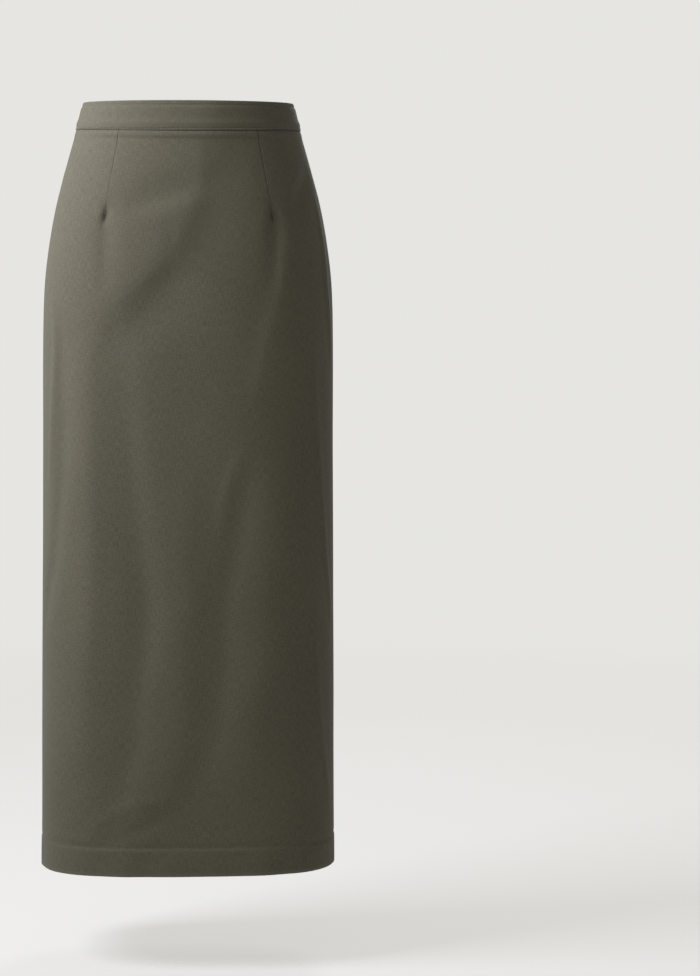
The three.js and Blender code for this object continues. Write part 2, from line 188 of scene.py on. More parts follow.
BACK_FOLDS = [
    # Drags that meet where the zip ends, with a valley across it and a ridge below
    Fold([(126, 113), (116, 154), (107, 185), (91, 232)], 30, 22, 2.8),
    Fold([(88, 140), (82, 172), (73, 200)], 22, 10, -2.6),
    Fold([(79, 194), (88, 199), (100, 199)], 8, 7, -1.6),
    Fold([(86, 174), (87, 194)], 8, 4, -1.0),
    Fold([(76, 213), (84, 213), (92, 214)], 26, 8, 2.6),
    # Long slanting folds from the wearer's right hip to the left knee
    Fold([(102, 220), (98, 265), (92, 314)], 14, 14, -2.0),
    Fold([(114, 247), (104, 351), (98, 394), (91, 480)], 24, 22, 3.2),
    Fold([(112, 370), (107, 419), (99, 511), (91, 604)], 22, 16, -2.8),
    Fold([(118, 432), (108, 542), (102, 604), (99, 739), (98, 888)], 24, 26, 2.0),
    Fold([(64, 228), (60, 296), (56, 358), (54, 420), (53, 482)], 22, 14, 2.4),
    Fold([(66, 493), (53, 612), (46, 675), (42, 744)], 18, 12, 1.1),
    Fold([(64, 567), (54, 667), (52, 729), (51, 791)], 14, 16, -1.4),
    Fold([(88, 548), (74, 631), (64, 728), (60, 784), (56, 838), (52, 885)], 22, 16, 2.2),
    Fold([(80, 655), (79, 715), (74, 801), (68, 845), (57, 912)], 18, 16, -3.6),
    Fold([(90, 684), (85, 739), (83, 789), (82, 850)], 22, 10, 2.6),
    Fold([(90, 560), (90, 690), (90, 880)], 13, 12, -2.6),
    Fold([(86, 407), (84, 456), (82, 505)], 12, 8, 0.9),
    # Narrow ones along the side seams
    Fold([(44, 285), (40, 347), (36, 410)], 9, 14, -2.0),
    Fold([(35, 310), (28, 361), (16, 413)], 6, 8, 1.8),
    Fold([(176, 84), (158, 160), (157, 223), (158, 255)], 5, 8, 2.4),
    Fold([(148, 310), (151, 361), (153, 411)], 5, 6, 1.6),
    Fold([(143, 360), (146, 410), (148, 473), (151, 673)], 6, 8, 2.2),
    # Short creases under the waistband, and puckers in the hem beside the centre seam
    Fold([(91, 39), (86, 43), (82, 48)], 3.2, 3.2, -1.8),
    Fold([(90, 47), (85, 52)], 3.0, 3.0, 1.1),
    Fold([(89, 55), (86, 58)], 3, 3, -0.8),
    Fold([(90, 42), (95, 45), (98, 46)], 3.0, 3.0, -1.5),
    Fold([(89, 52), (97, 52)], 3.2, 3.2, 0.9),
    Fold([(91, 60), (98, 56)], 3, 3, -0.8),
    Fold([(92, 63), (111, 50), (130, 41)], 8, 4, 0.5),
    Fold([(70, 905), (70, 955)], 6, 7, -1.4),
    Fold([(80, 905), (80, 960)], 6, 6, 2.2),
    Fold([(86, 905), (85, 960)], 6, 5, -2.0),
    Fold([(101, 910), (101, 960)], 5, 7, 2.3),
    Fold([(110, 910), (111, 960)], 5, 7, 2.2),
]
FOLDS = FRONT_FOLDS + BACK_FOLDS
FOLD_ENDS = 0.3


def nearness(fold, angle, below):
    """1 on a fold's crest, fading over its width and towards its ends."""
    x, y = arc(angle), below
    route = np.array([(arc(a), b) for a, b in fold.route])
    lengths = np.linalg.norm(np.diff(route, axis=0), axis=1)
    nearest = np.full(np.shape(x), np.inf)
    swell = np.zeros(np.shape(x))
    done = 0.0
    for start, run, length in zip(route, np.diff(route, axis=0), lengths):
        t = np.clip(((x - start[0]) * run[0] + (y - start[1]) * run[1]) / length**2, 0, 1)
        away_x, away_y = x - start[0] - t * run[0], y - start[1] - t * run[1]
        to_left = run[0] * away_y - run[1] * away_x > 0
        away = np.hypot(away_x, away_y) / np.where(to_left, fold.left, fold.right)
        share = (done + t * length) / lengths.sum()
        closer = away < nearest
        nearest = np.where(closer, away, nearest)
        swell = np.where(closer, FOLD_ENDS + (1 - FOLD_ENDS) * np.sin(np.pi * share) ** 0.6, swell)
        done += length
    return swell * np.exp(-(nearest**2))


def unevenness(angle, below):
    """Slight waves that no two stretches of cloth share. They close up after a whole turn."""
    t = np.radians(angle)
    long_waves = np.sin(7 * t + 1.7 * np.sin(below / 140)) * np.sin(below / 95 + 1.3 * np.sin(3 * t))
    short_waves = np.sin(17 * t + 2.1 * np.sin(below / 61)) * np.sin(below / 47 + 1.9 * np.sin(9 * t))
    return 0.22 * long_waves + 0.07 * short_waves


def worn(angle, below, lift):
    """Where places on the cloth lie when worn, in metres: lift is how far out they stand."""
    angle, below = np.broadcast_arrays(np.asarray(angle, float), np.asarray(below, float))
    out = lift + unevenness(angle, below) * smooth(below, BAND_HEIGHT, 120)
    for fold in FOLDS:
        out = out + fold.depth * nearness(fold, angle, below)
    return (form(angle, below) + out[..., None] * outward(angle, below)) * MM


print(len(FOLDS), "folds")

# %% [markdown]
# Each piece of cloth starts as a flat grid from bmesh, as a piece is cut flat from the bolt. Its
# rows and columns are then laid where the worn skirt has them. The cut keeps two things for the
# finish: a UV map in metres of cloth, so that the twill keeps its scale everywhere, and an
# attribute that holds rubbing and painted light: 1 on the edges that rub and on a painted highlight
# beside each seam, and -1 for painted shade deep in the seams, the darts and the stitching.

# %% Cutting cloth
def made_object(name, drawn):
    """Turns what a bmesh holds into an object of the scene."""
    mesh = bpy.data.meshes.new(name)
    drawn.to_mesh(mesh)
    drawn.free()
    mesh.shade_smooth()
    made = bpy.data.objects.new(name, mesh)
    bpy.context.scene.collection.objects.link(made)
    return made


def grid_piece(name, lay, wear_and_painted_light):
    """A grid of cloth whose rows and columns lie where lay has them: outwards is its right side."""
    rows, columns = lay.shape[:2]
    flat = bmesh.new()
    bmesh.ops.create_grid(flat, x_segments=columns - 1, y_segments=rows - 1, size=0.5)
    piece = made_object(name, flat)
    mesh = piece.data
    corners = np.empty(len(mesh.vertices) * 3)
    mesh.vertices.foreach_get("co", corners)
    corners = corners.reshape(-1, 3)
    share = (corners - corners.min(0)) / np.maximum(np.ptp(corners, axis=0), 1e-9)
    column = np.rint(share[:, 0] * (columns - 1)).astype(int)
    row = np.rint((1 - share[:, 1]) * (rows - 1)).astype(int)
    mesh.vertices.foreach_set("co", lay[row, column].ravel())
    across = np.cumsum(np.linalg.norm(np.diff(lay, axis=1, prepend=lay[:, :1]), axis=2), axis=1)
    across -= across[:, [columns // 2]]
    down = np.cumsum(np.linalg.norm(np.diff(lay, axis=0, prepend=lay[:1]), axis=2), axis=0)
    corner_of = np.empty(len(mesh.loops), int)
    mesh.loops.foreach_get("vertex_index", corner_of)
    cloth = np.stack([across[row, column], -down[row, column]], -1)[corner_of]
    mesh.uv_layers.new(name="cloth").data.foreach_set("uv", cloth.ravel())
    # Rubbed edges and painted highlights lie above 0, painted shade lies below 0
    rubbed_and_painted_light = np.broadcast_to(wear_and_painted_light, (rows, columns))[row, column]
    mesh.attributes.new("wear_and_painted_light", "FLOAT", "POINT").data.foreach_set("value", rubbed_and_painted_light.astype(np.float32))
    return piece


def give_thickness(piece, thickness):
    """Cloth has its thickness on its wrong side."""
    solid = piece.modifiers.new("thickness", "SOLIDIFY")
    solid.thickness = thickness * MM
    solid.offset = -1
    solid.use_even_offset = True
    return piece


def cloth_area(piece):
    """The area of the cut in square metres."""
    return sum(face.area for face in piece.data.polygons)


# %% [markdown]
# The panels are joined by pressed seams. Beside a seam the cloth rolls inwards over a millimetre,
# and the two rolls, with painted shade in them, make the thin dark line that shows; the edge beside
# it carries a painted highlight. A dart is a fold that is stitched to a point, so its line is a
# narrow valley that fades out, with painted shade along it. Fine columns are needed only there, and
# the rest of a panel is spaced evenly. At the top of the centre back the edges part a little, to make
# room for the zip's slider and pull.

# %% Columns of a panel
SEAM_ROLL = 1.1
WAIST_ROLL = 0.9
SEAM_STEPS = (0, 0.1, 0.3, 0.7, 1.3, 2.2, 3.5)
DART_STEPS = (-4, -2.2, -1.3, -0.7, -0.3, 0, 0.3, 0.7, 1.3, 2.2, 4)
COLUMN_STEP = 1.6
CLEAR_OF_SEAM = 2.0
TURN_PER_MM = 0.38
FRONT_DART = 54
BACK_DART = 51
DART_TIP = 145
DART_WIDTH = 1.2
Dart = namedtuple("Dart", "angle depth pucker")
FRONT_DARTS = [Dart(FRONT_DART - 180, 0.55, 2.4), Dart(-FRONT_DART, 1.0, 1.7)]
BACK_LEFT_DARTS = [Dart(BACK_DART, 0.45, 0.6)]
BACK_RIGHT_DARTS = [Dart(180 - BACK_DART, 0.8, 1.5)]

Gap = namedtuple("Gap", "below half")
BACK_GAP = [
    Gap(0, 4.4), Gap(6, 3.2), Gap(26, 3.0), Gap(35, 1.1), Gap(41, 0.3), Gap(52, 0), Gap(960, 0)
]
Column = namedtuple("Column", "base offset kind")


def back_half_gap(below):
    return np.interp(below, [row.below for row in BACK_GAP], [row.half for row in BACK_GAP])


def panel_columns(first, last, darts=()):
    """Columns from one seam to the other: offset is in millimetres from the angle called base."""
    columns = [Column(first, step, "seam") for step in SEAM_STEPS]
    columns += [Column(last, -step, "seam") for step in SEAM_STEPS]
    columns += [Column(dart.angle, step, "dart") for dart in darts for step in DART_STEPS]
    even = np.linspace(first, last, round((last - first) / COLUMN_STEP) + 1)
    taken = np.array([first, last] + [dart.angle for dart in darts])
    columns += [
        Column(angle, 0, "plain") for angle in even if np.abs(taken - angle).min() > CLEAR_OF_SEAM
    ]
    return sorted(columns, key=lambda column: column.base + column.offset * TURN_PER_MM)


def column_arrays(columns):
    """The bases, the offsets and the kinds of the columns, each as one row of an array."""
    return [np.array(values)[None] for values in zip(*columns)]


def spread_columns(columns, below):
    """The angle of each column at each height, with the slit over the slider left open."""
    base, offset, kind = column_arrays(columns)
    side = np.where(base == base.min(), 1, -1) * (kind == "seam")
    gap = np.where(base == 90, back_half_gap(below), 0) * side
    speed = np.linalg.norm(form(base + 0.5, below) - form(base - 0.5, below), axis=-1)
    return base + (offset + gap) / speed


def rolled_in(distance, radius):
    """How far a pressed edge turns in, as a quarter round."""
    inside = np.clip(radius - distance, 0, radius)
    return radius - np.sqrt(radius**2 - inside**2)


def seam_sink(columns, darts, below):
    """How far each column is turned in by a seam or a dart."""
    base, offset, kind = column_arrays(columns)
    distance = np.abs(offset)
    seam = rolled_in(distance, SEAM_ROLL) * (kind == "seam")
    depth = sum(dart.depth * (base == dart.angle) for dart in darts)
    valley = np.clip(1 - distance / DART_WIDTH, 0, 1) ** 1.5
    fade = np.sqrt(np.clip((DART_TIP - below) / (DART_TIP - BAND_HEIGHT), 0, 1))
    return seam + depth * valley * fade * (kind == "dart")


print(len(panel_columns(-180, 0, FRONT_DARTS)), "columns across the front")

# %% [markdown]
# Down its length a panel starts under the waistband, whose seam dips a little at the centre front,
# and ends in a hem: the cloth turns round a small roll at the bottom and runs up again inside. One
# row of places follows the cloth all the way, so the hem is a real fold and not a painted line.
# What lies inside shows through the cloth: the seam allowance under the waistband and the edge of
# the hem each leave a soft ledge, and the back's hem stitches sink it into a shallow groove.

# %% Rows of a panel
CLOTH = 1.2
HEM_DEPTH = 33
HEM_ROLL = 1.25
HEM_LINE = LENGTH - HEM_DEPTH + 0.5
TOP_STEPS = (0, 0.1, 0.3, 0.7, 1.3, 2.2, 3.4, 5, 7, 8.5, 10, 11.5, 13, 15, 18, 22)
ROW_STEP = 5
HEM_STEPS = (-12, -8, -5, -3, -2, -1, 0, 1, 2, 3, 5, 8, 12, 17, 22, 26)
INSIDE_STEPS = (2, 6, 11, 17, 23, 28, 31)

Ledge = namedtuple("Ledge", "height start end")
WAIST_LEDGE = Ledge(1.4, 5.5, 10.5)
WAIST_SETBACK = Ledge(0.7, 0, 4.5)
WAIST_LEDGE_AT_SIDES = 0.3
HEM_LEDGE = Ledge(0.5, -3, 1.5)
HEM_LEDGE_BACK = 0.15

Groove = namedtuple("Groove", "depth place width")
ABOVE_HEM = Groove(0.6, HEM_LINE - 4, 2.2)
HEM_SEWING = Groove(0.6, HEM_LINE, 1.4)
HEM_RIPPLE = 0.6
RIPPLE_LENGTH = 10


def panel_rows():
    """Places along the cloth from the waist seam, round the hem and up inside."""
    top = [BAND_HEIGHT + step for step in TOP_STEPS]
    hem = [HEM_LINE + step for step in HEM_STEPS]
    plain = list(np.arange(top[-1] + ROW_STEP, hem[0] - ROW_STEP / 2, ROW_STEP))
    turn_start = LENGTH - HEM_ROLL
    turned = list(turn_start + HEM_ROLL * np.linspace(0, np.pi, 9))
    inside = [turned[-1] + step for step in INSIDE_STEPS]
    return np.array(top + plain + hem + turned + inside)


def follow_hem(path):
    """Turns a distance along the cloth into how far below it is and how far the turn moves it in."""
    past = np.clip(path - (LENGTH - HEM_ROLL), 0, None)
    turning = np.clip(past / HEM_ROLL, 0, np.pi)
    inside = np.clip(past - np.pi * HEM_ROLL, 0, None)
    below = np.minimum(path, LENGTH - HEM_ROLL) + HEM_ROLL * np.sin(turning) - inside
    return below, HEM_ROLL * (np.cos(turning) - 1)


def seam_dip(angle):
    return BAND_DIP * np.clip(-np.sin(np.radians(angle)), 0, 1) ** 2


def between_sides(turned, low, high):
    """1 in the middle of the front or the back, fading to 0 at the two side seams."""
    return smooth(turned, low, high) * smooth(180 - turned, low, high)


def ledges(angle, path):
    """What the layers inside show of themselves on the outside."""
    under = path - BAND_HEIGHT
    waist = WAIST_LEDGE.height * (1 - smooth(under, WAIST_LEDGE.start, WAIST_LEDGE.end))
    waist = waist - WAIST_SETBACK.height * (1 - smooth(under, WAIST_SETBACK.start, WAIST_SETBACK.end))
    facing = smooth(-np.sin(np.radians(angle)), 0.3, 0.8)
    waist = waist * (WAIST_LEDGE_AT_SIDES + (1 - WAIST_LEDGE_AT_SIDES) * facing)
    at_back = between_sides(angle, 3, 12)
    at_front = between_sides(-angle, 6, 25)
    hem = HEM_LEDGE.height + (HEM_LEDGE_BACK - HEM_LEDGE.height) * at_back
    hem = hem * smooth(path - HEM_LINE, HEM_LEDGE.start, HEM_LEDGE.end)
    above = -ABOVE_HEM.depth * bell(path, ABOVE_HEM.place, ABOVE_HEM.width)
    sewing = -HEM_SEWING.depth * bell(path, HEM_SEWING.place, HEM_SEWING.width) * at_back
    ripple = np.sin(arc(angle) / RIPPLE_LENGTH + 1.5 * np.sin(angle / 9))
    soft = HEM_RIPPLE * ripple * smooth(path, HEM_LINE, HEM_LINE + 12) * at_front
    shown = path < LENGTH + HEM_ROLL
    return (waist + hem + above + sewing + soft) * shown


# %% [markdown]
# The stitching of a dart stops at its point, and the spare cloth springs open there. That leaves a
# small pucker, steeper on its left as seen from outside, a swelling on that side, and a hollow below.
# The same places, with the seams and the hem, get painted shade, and the seam edges a painted highlight, so
# these are worked out beside them.

# %% Dart points, rubbing and painted light
PUCKER_ABOVE_TIP = 3
PUCKER_LENGTH = 9
PUCKER_STEEP, PUCKER_GENTLE = 2.6, 5.5
SWELLING, SWELLING_ASIDE, SWELLING_WIDTH = 0.25, 7, 3.5
HOLLOW, HOLLOW_WIDTH, HOLLOW_BELOW, HOLLOW_LENGTH = 1.1, 11, 14, 30


def dart_dimples(darts, angle, below):
    """How far the cloth sinks at the points of the darts."""
    sink = np.zeros(np.broadcast_shapes(np.shape(angle), np.shape(below)))
    for dart in darts:
        x = arc(angle - dart.angle)
        pucker = dart.pucker * bell(below, DART_TIP - PUCKER_ABOVE_TIP, PUCKER_LENGTH)
        sink += pucker * bell(x, 0, np.where(x < 0, PUCKER_STEEP, PUCKER_GENTLE))
        sink -= SWELLING * pucker * bell(x, -SWELLING_ASIDE, SWELLING_WIDTH)
        sink += HOLLOW * bell(x, 0, HOLLOW_WIDTH) * bell(below, DART_TIP + HOLLOW_BELOW, HOLLOW_LENGTH)
    return sink


def panel_rubbing_and_painted_light(columns, darts, path, angle, below):
    """Edges rub pale and seam edges get a painted highlight. Seams, dart lines and points and the sewn hem
    get painted shade.
    """
    base, offset, kind = column_arrays(columns)
    from_seam = np.abs(offset)
    beside = kind == "seam"
    sewn = (kind == "dart") * (from_seam < 0.5)
    # The hem's fold rubs pale, and the edge beside each seam gets a painted highlight
    rubbed_and_painted_light = 0.8 * bell(path, LENGTH, 2.5) + 0.5 * beside * bell(from_seam, SEAM_ROLL + 0.4, 0.6)
    # Painted shade in the seam rolls, along the waist seam and along the back's hem stitching
    painted_shade = 0.6 * beside * (from_seam < 0.6) + 0.4 * (path - BAND_HEIGHT < 0.2)
    painted_shade = painted_shade + 0.7 * bell(path, HEM_LINE, 1.3) * (base > 1) * (base < 179)
    # Painted shade at each dart's point and along its stitched line
    for dart in darts:
        painted_tip_shade = bell(arc(angle - dart.angle), 0, 2.4) * bell(below, DART_TIP - 2, 6)
        line = 0.5 * dart.depth * sewn * (base == dart.angle) * (below < DART_TIP + 4)
        painted_shade = painted_shade + 0.3 * dart.pucker * painted_tip_shade + line
    return np.clip(rubbed_and_painted_light - painted_shade, -1, 1)


# %% [markdown]
# Now the three panels can be laid on the form. A panel's lift is what the hem's turn, the seams, the
# darts and the layers inside do to it, and the folds come on top of that.

# %% The panels
def panel(name, first, last, darts):
    """One skirt panel, laid on the form from seam to seam."""
    path = panel_rows()[:, None]
    columns = panel_columns(first, last, darts)
    below, turned = follow_hem(path)
    base = column_arrays(columns)[0]
    below = below + seam_dip(base) * np.clip(1 - (path - BAND_HEIGHT) / 100, 0, 1)
    angle = spread_columns(columns, below)
    lift = turned - seam_sink(columns, darts, below) + ledges(angle, path)
    lift = lift - dart_dimples(darts, angle, below)
    lift = lift - rolled_in(path - BAND_HEIGHT, WAIST_ROLL)
    wear_and_painted_light = panel_rubbing_and_painted_light(columns, darts, path, angle, below)
    piece = grid_piece(name, worn(angle, below, lift), wear_and_painted_light)
    print(f"{name}: {len(piece.data.polygons)} faces, {cloth_area(piece):.3f} square metres")
    return give_thickness(piece, CLOTH)


front = panel("front_cloth", -180, 0, FRONT_DARTS)
back_left = panel("back_left_cloth", 0, 90, BACK_LEFT_DARTS)
back_right = panel("back_right_cloth", 90, 180, BACK_RIGHT_DARTS)

# %% [markdown]
# The waistband is a strip folded double over a stiffener, so it is a flat tube with a soft roll at
# the top. It could be a box with bevels, but a section that is swept round the waist lets the
# roll, the ridge of the seam allowance inside it and the line of its edge stitches be drawn once.
# The section is closed, and the tube's two ends are capped.

# %% The waistband
BAND_LIFT = 0.8
BAND_CLOTH = 2.4
BAND_END_ROLL = 1.1
BAND_TOP_LEAN = 1.1
BAND_STITCHING = Groove(0.5, 33, 0.9)
BAND_ROLL_LINE = Groove(0.95, 5.5, 1.9)
ALLOWANCE_RIDGE = Ledge(1.0, 21, 26)
ALLOWANCE_EASE = Ledge(0.7, 26.5, 33)
BAND_FACE = (
    33.9, 33.5, 33.2, 32.9, 32.5, 32, 31.2, 30, 28, 26.5, 25, 23.5,
    20, 16, 12, 9, 8, 7, 6, 5, 4.2, 3.4, 2.6, 1.8
)


def band_relief(below):
    """The seam allowance inside, the sunk row of stitches and the soft roll near the top."""
    ridge = ALLOWANCE_RIDGE.height * smooth(below, ALLOWANCE_RIDGE.start, ALLOWANCE_RIDGE.end)
    ease = ALLOWANCE_EASE.height * smooth(below, ALLOWANCE_EASE.start, ALLOWANCE_EASE.end)
    sunk = sum(
        groove.depth * bell(below, groove.place, groove.width)
        for groove in (BAND_STITCHING, BAND_ROLL_LINE)
    )
    return ridge - ease - sunk


def band_section():
    """The tube's section as places (below, lift) with their rubbing and painted light, from the seam up."""
    middle = BAND_LIFT - BAND_CLOTH / 2
    radius = BAND_CLOTH / 2
    places = []
    # Painted shade on the lower roll, darkest where it turns into the waist seam
    for t in np.linspace(-np.pi / 2, 0, 5):
        lift = middle + (radius + band_relief(BAND_HEIGHT)) * math.cos(t)
        places.append((BAND_HEIGHT - 0.6 * (1 + math.sin(t)), lift, 0.7 * math.sin(t)))
    # Painted shade along the sunk row of edge stitches
    for below in BAND_FACE:
        sewn = abs(below - BAND_STITCHING.place) < 0.6
        places.append((below, BAND_LIFT + band_relief(below), -0.8 * sewn))
    for t in np.linspace(0, np.pi, 9):
        places.append((radius - radius * math.sin(t), middle + radius * math.cos(t), math.sin(t)))
    places += [(below, BAND_LIFT - BAND_CLOTH, 0) for below in (4, 12, 20, 28, 33.5)]
    places.append((BAND_HEIGHT, middle - radius * 0.6, 0))
    places.append(places[0])
    places = np.array(places)
    places[:, 1] -= BAND_TOP_LEAN * (1 - smooth(places[:, 0], 0, 6))
    return places


def close_tube(piece):
    """Welds the tube along its seam, caps its ends and faces it outwards."""
    tube = bmesh.new()
    tube.from_mesh(piece.data)
    bmesh.ops.remove_doubles(tube, verts=tube.verts, dist=1e-6)
    ends = [edge for edge in tube.edges if edge.is_boundary]
    bmesh.ops.holes_fill(tube, edges=ends, sides=0)
    bmesh.ops.recalc_face_normals(tube, faces=tube.faces)
    tube.to_mesh(piece.data)
    tube.free()
    piece.data.shade_smooth()
    return piece


def waistband(name, first, last):
    """One piece of the waistband, swept from seam to seam."""
    section = band_section()
    columns = panel_columns(first, last)
    base, offset, kind = column_arrays(columns)
    share = section[:, :1] / BAND_HEIGHT
    below = share * (BAND_HEIGHT + seam_dip(base))
    angle = spread_columns(columns, below)
    middle = BAND_LIFT - BAND_CLOTH / 2
    inside = np.clip(1 - np.abs(offset) / BAND_END_ROLL, 0, 1) * (kind == "seam")
    full = np.sqrt(1 - (0.95 * inside) ** 2)
    lift = middle + (section[:, 1:2] - middle) * full
    piece = grid_piece(name, worn(angle, below, lift), section[:, 2:3])
    print(f"{name}: {len(piece.data.polygons)} faces")
    return close_tube(piece)


band_front = waistband("waistband_front_cloth", -180, 0)
band_left = waistband("waistband_back_left_cloth", 0, 90)
band_right = waistband("waistband_back_right_cloth", 90, 180)

# %% [markdown]
# Stitches this fine could be a bump in the material, but they catch the light as real thread does
# only when they stand out of the cloth. Each is a small bead of thread with few faces, set along a
# line at the machine's pitch. A thread's lift is how far the middle of its stitches lies out.

# %% Stitches
Thread = namedtuple("Thread", "pitch length width height lift")
EDGE_THREAD = Thread(3.3, 1.4, 1.0, 0.9, BAND_LIFT + 0.45)
DART_THREAD = Thread(3.0, 1.5, 0.75, 0.6, -0.45)
HEM_THREAD = Thread(3.3, 1.5, 0.8, 0.7, 0.05)


def add_bead(drawn, centre, axes, half_size):
    """A small rounded bead: half_size is how far it reaches along each of its three axes."""
    turned = Matrix(axes).transposed().to_4x4()
    place = Matrix.Translation(centre) @ turned @ Matrix.Diagonal((*half_size, 1))
    bmesh.ops.create_uvsphere(drawn, u_segments=6, v_segments=4, radius=1, matrix=place)


def read_between(places, run, values):
    return np.stack([np.interp(places, run, values[:, k]) for k in range(3)], -1)


def sew(name, angle, below, thread):
    """A row of stitches along a line of places on the cloth."""
    line = worn(angle, below, thread.lift)
    run = np.concatenate([[0], np.cumsum(np.linalg.norm(np.diff(line, axis=0), axis=1))])
    places = np.arange(thread.pitch * MM, run[-1] - thread.pitch * MM / 2, thread.pitch * MM)
    points = read_between(places, run, line)
    ahead = read_between(places, run, np.gradient(line, axis=0))
    out = read_between(places, run, outward(angle, below))
    half_size = Vector((thread.width, thread.height, thread.length)) * (MM / 2)
    beads = bmesh.new()
    for point, forward, normal in zip(points, ahead, out):
        forward = Vector(forward).normalized()
        side = Vector(normal).cross(forward).normalized()
        add_bead(beads, point, (side, forward.cross(side), forward), half_size)
    print(f"{name}: {len(points)} stitches")
    return made_object(name, beads)


def line_round(first, last, below):
    """A level line round the skirt from one angle to another."""
    angle = np.linspace(first, last, 400)
    return angle, np.full(angle.shape, float(below))


def waist_line(first, last):
    angle, below = line_round(first, last, BAND_STITCHING.place)
    return angle, below * (BAND_HEIGHT + seam_dip(angle)) / BAND_HEIGHT


def dart_line(angle):
    below = np.linspace(BAND_HEIGHT + 5, DART_TIP - 2, 60)
    return np.full(below.shape, float(angle)), below


rows_of_stitches = [
    sew("waist_stitches_front", *waist_line(-179, -1), EDGE_THREAD),
    sew("waist_stitches_left", *waist_line(1, 87.6), EDGE_THREAD),
    sew("waist_stitches_right", *waist_line(92.4, 179), EDGE_THREAD),
    sew("hem_stitches_left", *line_round(1.5, 89.5, HEM_LINE), HEM_THREAD),
    sew("hem_stitches_right", *line_round(90.5, 178.5, HEM_LINE), HEM_THREAD),
    sew("dart_stitches_front_left", *dart_line(-FRONT_DART), DART_THREAD),
    sew("dart_stitches_front_right", *dart_line(FRONT_DART - 180), DART_THREAD),
    sew("dart_stitches_back_left", *dart_line(BACK_DART), DART_THREAD),
    sew("dart_stitches_back_right", *dart_line(180 - BACK_DART), DART_THREAD),
]

# %% [markdown]
# The zip is the one hard thing on the skirt. Its slider, arch and pull are drawn flat, from the
# slider's upper end down, and then laid against the slope of the centre back, as the model has
# them. A flat outline becomes a plate with a fill, an extrusion and a small bevel on its rim. The
# pull hangs on its own body, because it swings.

# %% The zip's hard parts
ZIP_TOP = 4
PULL_AXLE = 5.2
PULL_OUT = 0.85
PULL_LENGTH = 25
PULL_WIDTH = 7
PULL_NECK = 4.4
NECK_LENGTH = 5
PULL_THICK = 1.0
FACE_INSET = 1.9
RIM_ANGLE = 0.9
SHARP_ANGLE = 50


def zip_frame():
    """Turns the flat drawing's across, up and out, in millimetres, into places on the skirt."""
    top = Vector(worn(90.0, float(ZIP_TOP), BAND_LIFT))
    end = Vector(worn(90.0, ZIP_TOP + PULL_AXLE + PULL_LENGTH, BAND_LIFT))
    up = (top - end).normalized()
    across = Vector((-1, 0, 0))
    out = across.cross(up)
    turn = Matrix((across, up, out)).transposed().to_4x4()
    return Matrix.Translation(top) @ turn @ Matrix.Scale(MM, 4)


def plate(name, outlines, out, thick, bevel):
    """A plate from flat outlines, the first its rim and any others holes, as (across, down) places."""
    drawn = bmesh.new()
    for outline in outlines:
        corners = [drawn.verts.new((x, -down, out)) for x, down in outline]
        for a, b in zip(corners, corners[1:] + corners[:1]):
            drawn.edges.new((a, b))
    bmesh.ops.triangle_fill(drawn, edges=drawn.edges, use_beauty=True)
    made = bmesh.ops.extrude_face_region(drawn, geom=drawn.faces)
    moved = [item for item in made["geom"] if isinstance(item, bmesh.types.BMVert)]
    bmesh.ops.translate(drawn, verts=moved, vec=(0, 0, thick))
    bmesh.ops.recalc_face_normals(drawn, faces=drawn.faces)
    rim = [edge for edge in drawn.edges if edge.calc_face_angle(0) > RIM_ANGLE]
    bmesh.ops.bevel(
        drawn, geom=rim, offset=bevel, segments=2, affect="EDGES", profile=0.5, material=-1
    )
    return finish_hard(name, drawn)


def finish_hard(name, drawn):
    """Lays a flat drawing of a hard part on the skirt and makes it an object."""
    bmesh.ops.transform(drawn, matrix=zip_frame(), verts=drawn.verts)
    part = made_object(name, drawn)
    part.data.set_sharp_from_angle(angle=math.radians(SHARP_ANGLE))
    return part


def drop_outline(inset):
    """The pull's teardrop from its neck to its tip, drawn in by inset on all sides."""
    tip = PULL_AXLE - PULL_THICK / 2 + PULL_LENGTH
    belly = tip - PULL_WIDTH
    neck_end = PULL_AXLE + NECK_LENGTH
    side = []
    for t in np.linspace(0, 1, 9):
        half = PULL_NECK / 2 + (PULL_WIDTH - PULL_NECK) / 2 * smooth(t, 0, 1)
        side.append((half - inset, neck_end + inset + (belly - neck_end - inset) * t))
    for t in np.linspace(0, np.pi / 2, 9)[1:]:
        side.append(((PULL_WIDTH / 2 - inset) * math.cos(t), belly + (PULL_WIDTH - inset) * math.sin(t)))
    return side + [(-x, down) for x, down in side[-2::-1]]


def pull_outline():
    top = PULL_AXLE - PULL_THICK / 2
    return [(-PULL_NECK / 2, top), (PULL_NECK / 2, top)] + drop_outline(0)


EYE = [(-1.2, 5.7), (-1.2, 9.2), (1.2, 9.2), (1.2, 5.7)]
SLIDER = [
    (-2.8, 0), (-1, 0), (0, 2), (1, 0), (2.8, 0), (2.8, 3), (2.2, 9), (-2.2, 9), (-2.8, 3)
]
pull_back = PULL_OUT - PULL_THICK / 2
pull_front = PULL_OUT + PULL_THICK / 2
face_rim = drop_outline(FACE_INSET)
pull = plate("zip_pull_metal", [pull_outline(), EYE], out=pull_back, thick=PULL_THICK, bevel=0.22)
# The face takes the grey finish, a painted highlight on the pull's centre
pull_face = plate("zip_pull_face", [face_rim], out=pull_front - 0.1, thick=0.22, bevel=0.08)
slider = plate("zip_slider_metal", [SLIDER], out=-4.1, thick=3.4, bevel=0.3)

# %% [markdown]
# The arch over the slider is a bent strap. Its side view is drawn as a strip and extruded across.

# %% The arch
ARCH_WIDTH = 1.6
ARCH_SIDE = [
    (1.8, -1.0), (1.8, 1.7), (3.0, 2.9), (6.5, 2.9), (7.7, 1.7), (7.7, -1.0),
    (6.7, -1.0), (6.7, 1.29), (6.09, 1.9), (3.41, 1.9), (2.8, 1.29), (2.8, -1.0),
]


